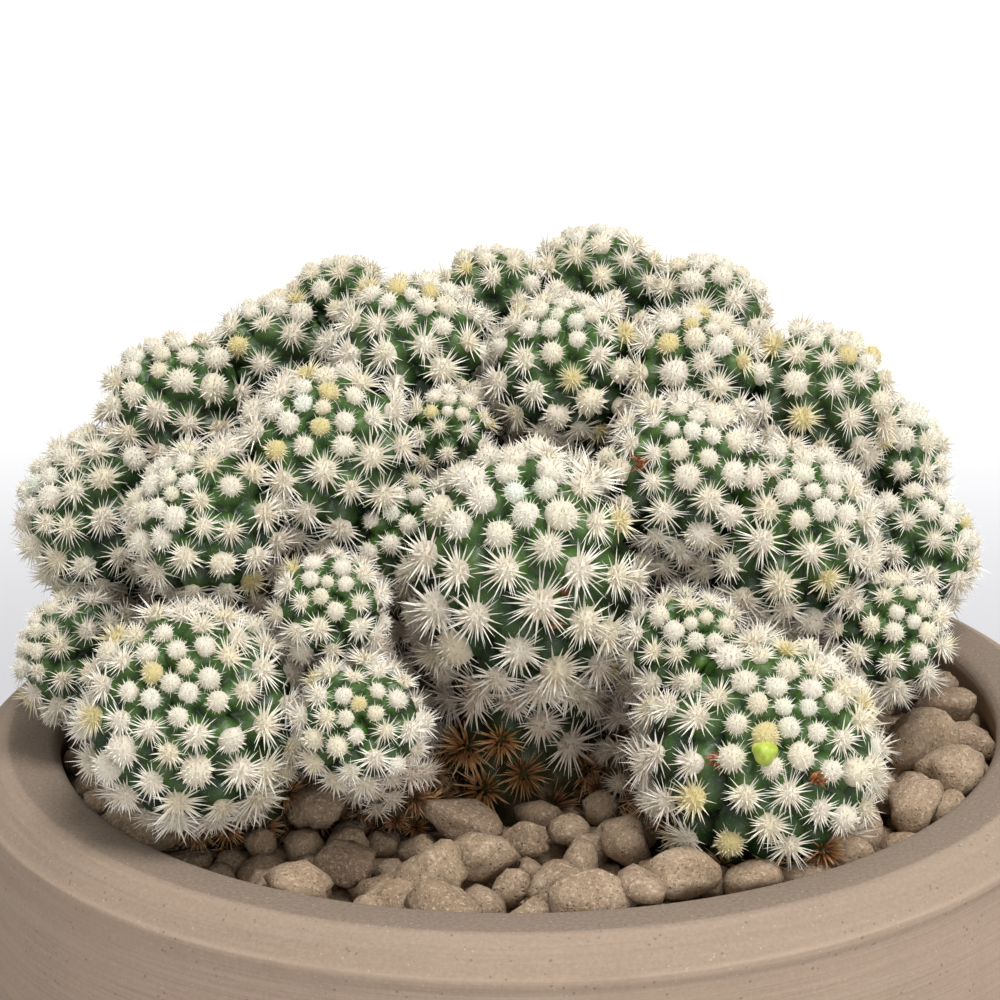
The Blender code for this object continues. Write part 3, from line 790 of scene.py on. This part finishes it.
def add_copy(bm, mesh, place, marks):
    """Copy a mesh into a bmesh at a place, and mark its points with numbers."""
    start = len(bm.verts)
    bm.from_mesh(mesh)
    bm.verts.ensure_lookup_table()
    added = bm.verts[start:]
    bmesh.ops.transform(bm, matrix=place, verts=added)
    for name, number in marks.items():
        layer = bm.verts.layers.float[name]
        for vert in added:
            vert[layer] = number


def ways_out():
    """Directions from level to straight up, all round, in which a wart may be seen."""
    ways = [(0, 0, 1)]
    for rise in (5, 30, 60):
        for step in range(12):
            angle = math.tau * (step + rise / 60) / 12
            level = math.cos(math.radians(rise))
            ways.append((level * math.cos(angle), level * math.sin(angle), math.sin(math.radians(rise))))
    return np.array(ways)


WAYS_OUT = ways_out()


def in_sight(place, out, balls, sizes):
    """Whether a wart shows past the other heads' bodies, given as balls, from any side."""
    ways = WAYS_OUT[WAYS_OUT @ out > 0.05]
    apart = balls - place
    ahead = ways @ apart.T
    off = np.maximum((apart ** 2).sum(1)[None] - ahead ** 2, 0)
    blocked = (ahead > 0) & (off < (sizes[None] * 0.92) ** 2)
    return bool(len(ways)) and not blocked.any(1).all()


def choose_tuft(head, wart, height):
    """A wart's kind of tuft, its size, its age, how yellow it is and whether it is dead."""
    chance = head.seed
    travel = wart["travel"] / head.radius
    size = wart["pitch"] / TUFT_PITCH * chance.uniform(0.8, 1.1)
    draw = chance.random()
    kind = "star" if draw < 0.45 else "brush" if draw < 0.85 else "cotton"
    age = max(0.0, min(1.0, (travel - 0.7) * 0.36 + chance.uniform(-0.25, 0.2)))
    if travel < 0.5:
        kind, size = "bud", size * 1.18
        age = -chance.uniform(0.1, 0.6) * (1 - travel / 0.55)
    elif travel < 0.95:
        kind, size = "cotton" if draw > 0.62 else kind, size * 1.1
    dead = height < RIM + (chance.uniform(-2, 4) + (head.length - 1) * 20) * MM
    yellow = 0.9 if chance.random() < 0.04 else 0.3 * chance.random() ** 2
    if dead:
        kind, size, yellow = "brush", size * 1.05, chance.random()
    return kind, size, age, yellow, dead


def make_tufts(head, heads, tufts, finishes):
    """Spines and wool on every wart of a head that isn't buried among its neighbours."""
    made = {name: bmesh.new() for name in ("spines", "wool", "dead_spines")}
    for bm in made.values():
        for layer in ("along", "age", "yellow"):
            bm.verts.layers.float.new(layer)
    rest = [other for other in heads if other is not head]
    balls = np.concatenate([other.line for other in rest])
    sizes = np.concatenate([other.girth for other in rest])
    near = [o for o in rest if (o.middle - head.middle).length < (o.radius + head.radius) * 2.2]
    for index, wart in enumerate(head.warts):
        lift = wart_height(wart["pitch"]) * WART_RISE
        base, out = wart["base"], wart["out"]
        ends = head.bend([base + out * lift, base + out * (lift + 1.6 * MM)])
        place, tip = Vector(ends[0]), Vector(ends[1])
        if place.z < SOIL + 3 * MM or any(other.holds(ends).any() for other in near):
            continue
        if not in_sight(ends[1], (ends[1] - ends[0]) / np.linalg.norm(ends[1] - ends[0]), balls, sizes):
            continue
        kind, size, age, yellow, dead = choose_tuft(head, wart, place.z)
        spine_mesh, wool_mesh = tufts[kind][index % TUFT_COPIES]
        lean = Vector((head.seed.gauss(0, 0.22), head.seed.gauss(0, 0.22), head.seed.gauss(0, 0.22)))
        turn = ((tip - place).normalized() + lean).to_track_quat("Z", "Y").to_matrix().to_4x4()
        spin = Matrix.Rotation(head.seed.uniform(0, math.tau), 4, "Z")
        shape = Matrix.Translation(place) @ turn @ spin @ Matrix.Scale(size, 4)
        marks = {"age": age, "yellow": yellow}
        add_copy(made["dead_spines" if dead else "spines"], spine_mesh, shape, marks)
        if not dead:
            add_copy(made["wool"], wool_mesh, shape, marks)
    word = head.node.replace("head_", "")
    for name, bm in made.items():
        if bm.verts:
            add_piece(f"{name}_{word}", bm, finishes[name], smooth=name == "wool")
        else:
            bm.free()


# What is left of the flowers, and the one fruit: the head and the way out from its middle
DRY_FLOWERS = (
    ("head_front_centre", (9, -10, 12)),
    ("head_front_centre", (-7, -15, 7)),
    ("head_front_centre", (6, -16, 5)),
    ("head_front_centre", (4, -18, 0)),
    ("head_front_right", (-7, -15, 6)),
    ("head_front_right", (8, -16, 3)),
    ("head_inner_right", (-6, -8, 5)),
    ("head_back_centre", (5, 14, 9)),
    ("head_back_right", (-4, 13, 10)),
)
PETALS = 12
FRUIT = ("head_front_right", (0, -16.5, 7.5))
FRUIT_SIZE = 2.1 * MM


def make_remains(heads):
    """Shrivelled flowers low between the warts, and one lime green fruit."""
    by_name = {head.node: head for head in heads}
    chance = random.Random(8)
    bm = bmesh.new()
    along = bm.verts.layers.float.new("along")
    for node, way in DRY_FLOWERS:
        head = by_name[node]
        out = Vector(way).normalized()
        base = head.middle + out * (head.radius + 0.6 * MM)
        core = bmesh.ops.create_icosphere(bm, subdivisions=2, radius=1, matrix=Matrix.Translation(base))
        for vert in core["verts"]:
            vert.co = base + (vert.co - base) * chance.uniform(0.75, 1.5) * MM
        for _ in range(PETALS):
            lean = Vector((chance.gauss(0, 0.8), chance.gauss(0, 0.8), chance.gauss(0, 0.8)))
            length = chance.uniform(1.8, 3.2) * MM
            spine(bm, along, base, (out * 1.1 + lean).normalized(), length, 0.55 * MM)
    add_piece("dry_flowers", bm, dry_flower(), smooth=False)
    head = by_name[FRUIT[0]]
    out = Vector(FRUIT[1]).normalized()
    bm = bmesh.new()
    turn = out.to_track_quat("Z", "Y").to_matrix().to_4x4()
    place = Matrix.Translation(head.middle + out * (head.radius + 1.4 * MM)) @ turn
    bmesh.ops.create_icosphere(bm, subdivisions=4, radius=1)
    for vert in bm.verts:
        angle = math.atan2(vert.co.y, vert.co.x)
        lobes = 1 + 0.10 * math.sin(3 * angle) * (1 - vert.co.z ** 2) + 0.05 * math.sin(5 * angle + 1)
        crown = 1.35 if vert.co.z > 0.7 else 1.15
        vert.co = Vector((vert.co.x * lobes, vert.co.y * lobes, vert.co.z * crown)) * FRUIT_SIZE
    bmesh.ops.smooth_vert(bm, verts=bm.verts, factor=0.5, use_axis_x=True, use_axis_y=True, use_axis_z=True)
    bmesh.ops.transform(bm, matrix=place, verts=bm.verts)
    add_piece("lime_fruit", bm, fruit_skin())


def make_clump():
    """All the heads, with their flesh, wool and spines."""
    heads = [Head(*row) for row in HEADS]
    parting_walls(heads)
    flesh = cactus_flesh()
    finishes = {"spines": spine_ivory(), "wool": wool(), "dead_spines": dead_spine()}
    tufts = {
        kind: [tuft(copy, *shape) for copy in range(TUFT_COPIES)] for kind, shape in TUFTS.items()
    }
    for head in heads:
        head.lay_out_warts()
        make_flesh(head, flesh)
        make_tufts(head, heads, tufts, finishes)
    return heads


# ---------------------------------------------------------------- stones

SMALL_STONES = 640
SETTLING_STEPS = 200
SINK_STEP = 0.3 * MM


def settle_stones(heads, large, count):
    """Let a crowd of round stones sink onto the soil, between the stems, the large stones and the wall."""
    chance = np.random.default_rng(5)
    sizes = chance.choice([2.4, 3.2, 4.0, 4.9, 5.8], size=count, p=[0.24, 0.30, 0.25, 0.14, 0.07]) * MM
    angle = chance.uniform(0, math.tau, count)
    reach = OPENING * np.sqrt(chance.uniform(0.16, 0.96, count))
    height = SOIL + chance.uniform(3 * MM, 16 * MM, count)
    places = np.stack([reach * np.cos(angle), reach * np.sin(angle), height], 1)
    fixed = [np.array(place)[None] for place, _ in large]
    fixed_sizes = [[size * 0.9] for _, size in large]
    for head in heads:
        fixed.append(head.line)
        fixed_sizes.append(head.girth)
    fixed, fixed_sizes = np.concatenate(fixed), np.concatenate(fixed_sizes)
    for _ in range(SETTLING_STEPS):
        places[:, 2] -= SINK_STEP
        apart = places[:, None] - places[None]
        distance = np.linalg.norm(apart, axis=2) + np.eye(count)
        overlap = np.maximum(sizes[:, None] + sizes[None] - distance, 0) * (1 - np.eye(count))
        places += (apart / distance[..., None] * overlap[..., None] * 0.28).sum(1)
        apart = places[:, None] - fixed[None]
        distance = np.linalg.norm(apart, axis=2) + 1e-9
        overlap = np.maximum(sizes[:, None] + fixed_sizes[None] - distance, 0)
        push = apart / distance[..., None] * overlap[..., None]
        push[..., 2] = np.minimum(push[..., 2], 0.2 * MM)
        places += push.sum(1) * 0.35
        across = np.linalg.norm(places[:, :2], axis=1)
        limit = OPENING - sizes - 0.4 * MM
        places[:, :2] *= np.minimum(1, limit / across)[:, None]
        places[:, 2] = np.maximum(places[:, 2], SOIL + sizes * 0.55)
    return places, sizes


STONE_FLATS = 11
STONE_WAVES = 3


def stone(bm, chance, place, size, detail, flatness=1.0):
    """One lumpy pebble: a ball knocked into broad facets and bumps."""
    start = len(bm.verts)
    bmesh.ops.create_icosphere(bm, subdivisions=detail, radius=1)
    bm.verts.ensure_lookup_table()
    added = bm.verts[start:]
    flats = [
        Vector((chance.gauss(0, 1), chance.gauss(0, 1), chance.gauss(0, 1))).normalized()
        for _ in range(STONE_FLATS)
    ]
    depths = [chance.uniform(0.58, 0.86) for _ in flats]
    waves = [
        (Vector((chance.uniform(2, 5), chance.uniform(2, 5), chance.uniform(2, 5))), chance.uniform(0, 6))
        for _ in range(STONE_WAVES)
    ]
    for vert in added:
        way = vert.co.normalized()
        length = 1.0
        for flat, depth in zip(flats, depths):
            facing = way.dot(flat)
            if facing * length > depth:
                length = length * 0.06 + depth / facing * 0.94
        length *= 1.06 + sum(0.036 * math.sin(way.dot(wave) * 2.6 + start_at) for wave, start_at in waves)
        vert.co = way * length
    long, wide = chance.uniform(1.0, 1.45), chance.uniform(0.9, 1.15)
    thick = chance.uniform(0.75, 1.0) * flatness
    stretch = Matrix.Diagonal((long * size, wide * size, thick * size, 1))
    tilt = Matrix.Rotation(chance.uniform(-0.5, 0.5), 4, "X")
    tilt @= Matrix.Rotation(chance.uniform(-0.5, 0.5), 4, "Y")
    spin = Matrix.Rotation(chance.uniform(0, math.tau), 4, "Z")
    bmesh.ops.transform(bm, matrix=Matrix.Translation(place) @ spin @ tilt @ stretch, verts=added)
    tone = chance.random()
    layer = bm.verts.layers.float["tone"]
    for vert in added:
        vert[layer] = tone


def make_stones(heads):
    """The pumice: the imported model's larger stones in their places, and the crowd of smaller ones."""
    surface = pumice()
    chance = random.Random(21)
    large = []
    for name in sorted(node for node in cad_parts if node.startswith("pebble")):
        low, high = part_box(name)
        bm = bmesh.new()
        bm.verts.layers.float.new("tone")
        size = (high.x - low.x + high.y - low.y) / 4
        stone(bm, chance, (low + high) / 2, size * 0.92, 4, min(1, (high.z - low.z) / size / 1.5))
        large.append(((low + high) / 2, size))
        add_piece(name.replace("pebble", "stone"), bm, surface, [name])
    places, sizes = settle_stones(heads, large, SMALL_STONES)
    for word, on_right in (("left", False), ("right", True)):
        bm = bmesh.new()
        bm.verts.layers.float.new("tone")
        for place, size in zip(places, sizes):
            if (place[0] >= 0) == on_right:
                detail = 3 if size > 4.5 * MM else 2
                stone(bm, chance, Vector(place), size * 0.98, detail)
        add_piece(f"pumice_top_dressing_{word}", bm, surface)


# ---------------------------------------------------------------- studio

FLOOR_REACH = 6
AIR_LIGHT = 0.62


def make_studio():
    """Pale floor, soft light all round, a key light overhead and a fill light in front."""
    bm = bmesh.new()
    bmesh.ops.create_grid(bm, x_segments=8, y_segments=8, size=FLOOR_REACH)
    mesh = bpy.data.meshes.new("studio_floor")
    bm.to_mesh(mesh)
    bm.free()
    mesh.materials.append(studio_white())
    floor = bpy.data.objects.new("studio_floor", mesh)
    bpy.context.scene.collection.objects.link(floor)
    world = bpy.data.worlds.new("studio_air")
    world.use_nodes = True
    world.node_tree.nodes["Background"].inputs["Color"].default_value = (1.0, 1.0, 1.0, 1)
    world.node_tree.nodes["Background"].inputs["Strength"].default_value = AIR_LIGHT
    bpy.context.scene.world = world
    add_light("key_light", (0.26, -0.36, 1.32), 0.6, 14.7)
    add_light("fill_light", (0.45, -1.15, 0.40), 0.8, 4.6)
    bpy.context.scene.view_settings.view_transform = "Standard"


def add_light(name, place, size, power):
    """A round soft light that points at the middle of the rim."""
    lamp = bpy.data.lights.new(name, "AREA")
    lamp.shape = "DISK"
    lamp.size = size
    lamp.energy = power
    light = bpy.data.objects.new(name, lamp)
    light.location = place
    light.rotation_mode = "QUATERNION"
    light.rotation_quaternion = (Vector((0, 0, RIM)) - Vector(place)).to_track_quat("-Z", "Y")
    bpy.context.scene.collection.objects.link(light)


CAMERA_DISTANCE = 0.765
CAMERA_ELEVATION = math.radians(21.9)
CAMERA_LENS = 150.7
CAMERA_ROLL = math.radians(-0.9)
LOOK_AT = Vector((-0.0045, 0.0136, 0.0366))   # from the middle of the rim


def make_camera():
    """A long lens a little above the rim, in front of the plant."""
    data = bpy.data.cameras.new("camera")
    data.lens = CAMERA_LENS
    data.sensor_width = 36
    camera = bpy.data.objects.new("camera", data)
    rim_middle = Vector((0, 0, RIM))
    back = Vector((0, -math.cos(CAMERA_ELEVATION), math.sin(CAMERA_ELEVATION)))
    camera.location = rim_middle + back * CAMERA_DISTANCE
    aim = rim_middle + LOOK_AT - camera.location
    camera.rotation_mode = "QUATERNION"
    camera.rotation_quaternion = aim.to_track_quat("-Z", "Y") @ Quaternion((0, 0, 1), CAMERA_ROLL)
    bpy.context.scene.collection.objects.link(camera)
    bpy.context.scene.camera = camera


def main():
    make_camera()
    make_studio()
    make_bowl()
    make_soil(potting_soil())
    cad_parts["drain_mesh"].data.materials.clear()
    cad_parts["drain_mesh"].data.materials.append(mesh_plastic())
    heads = make_clump()
    make_remains(heads)
    make_stones(heads)


main()
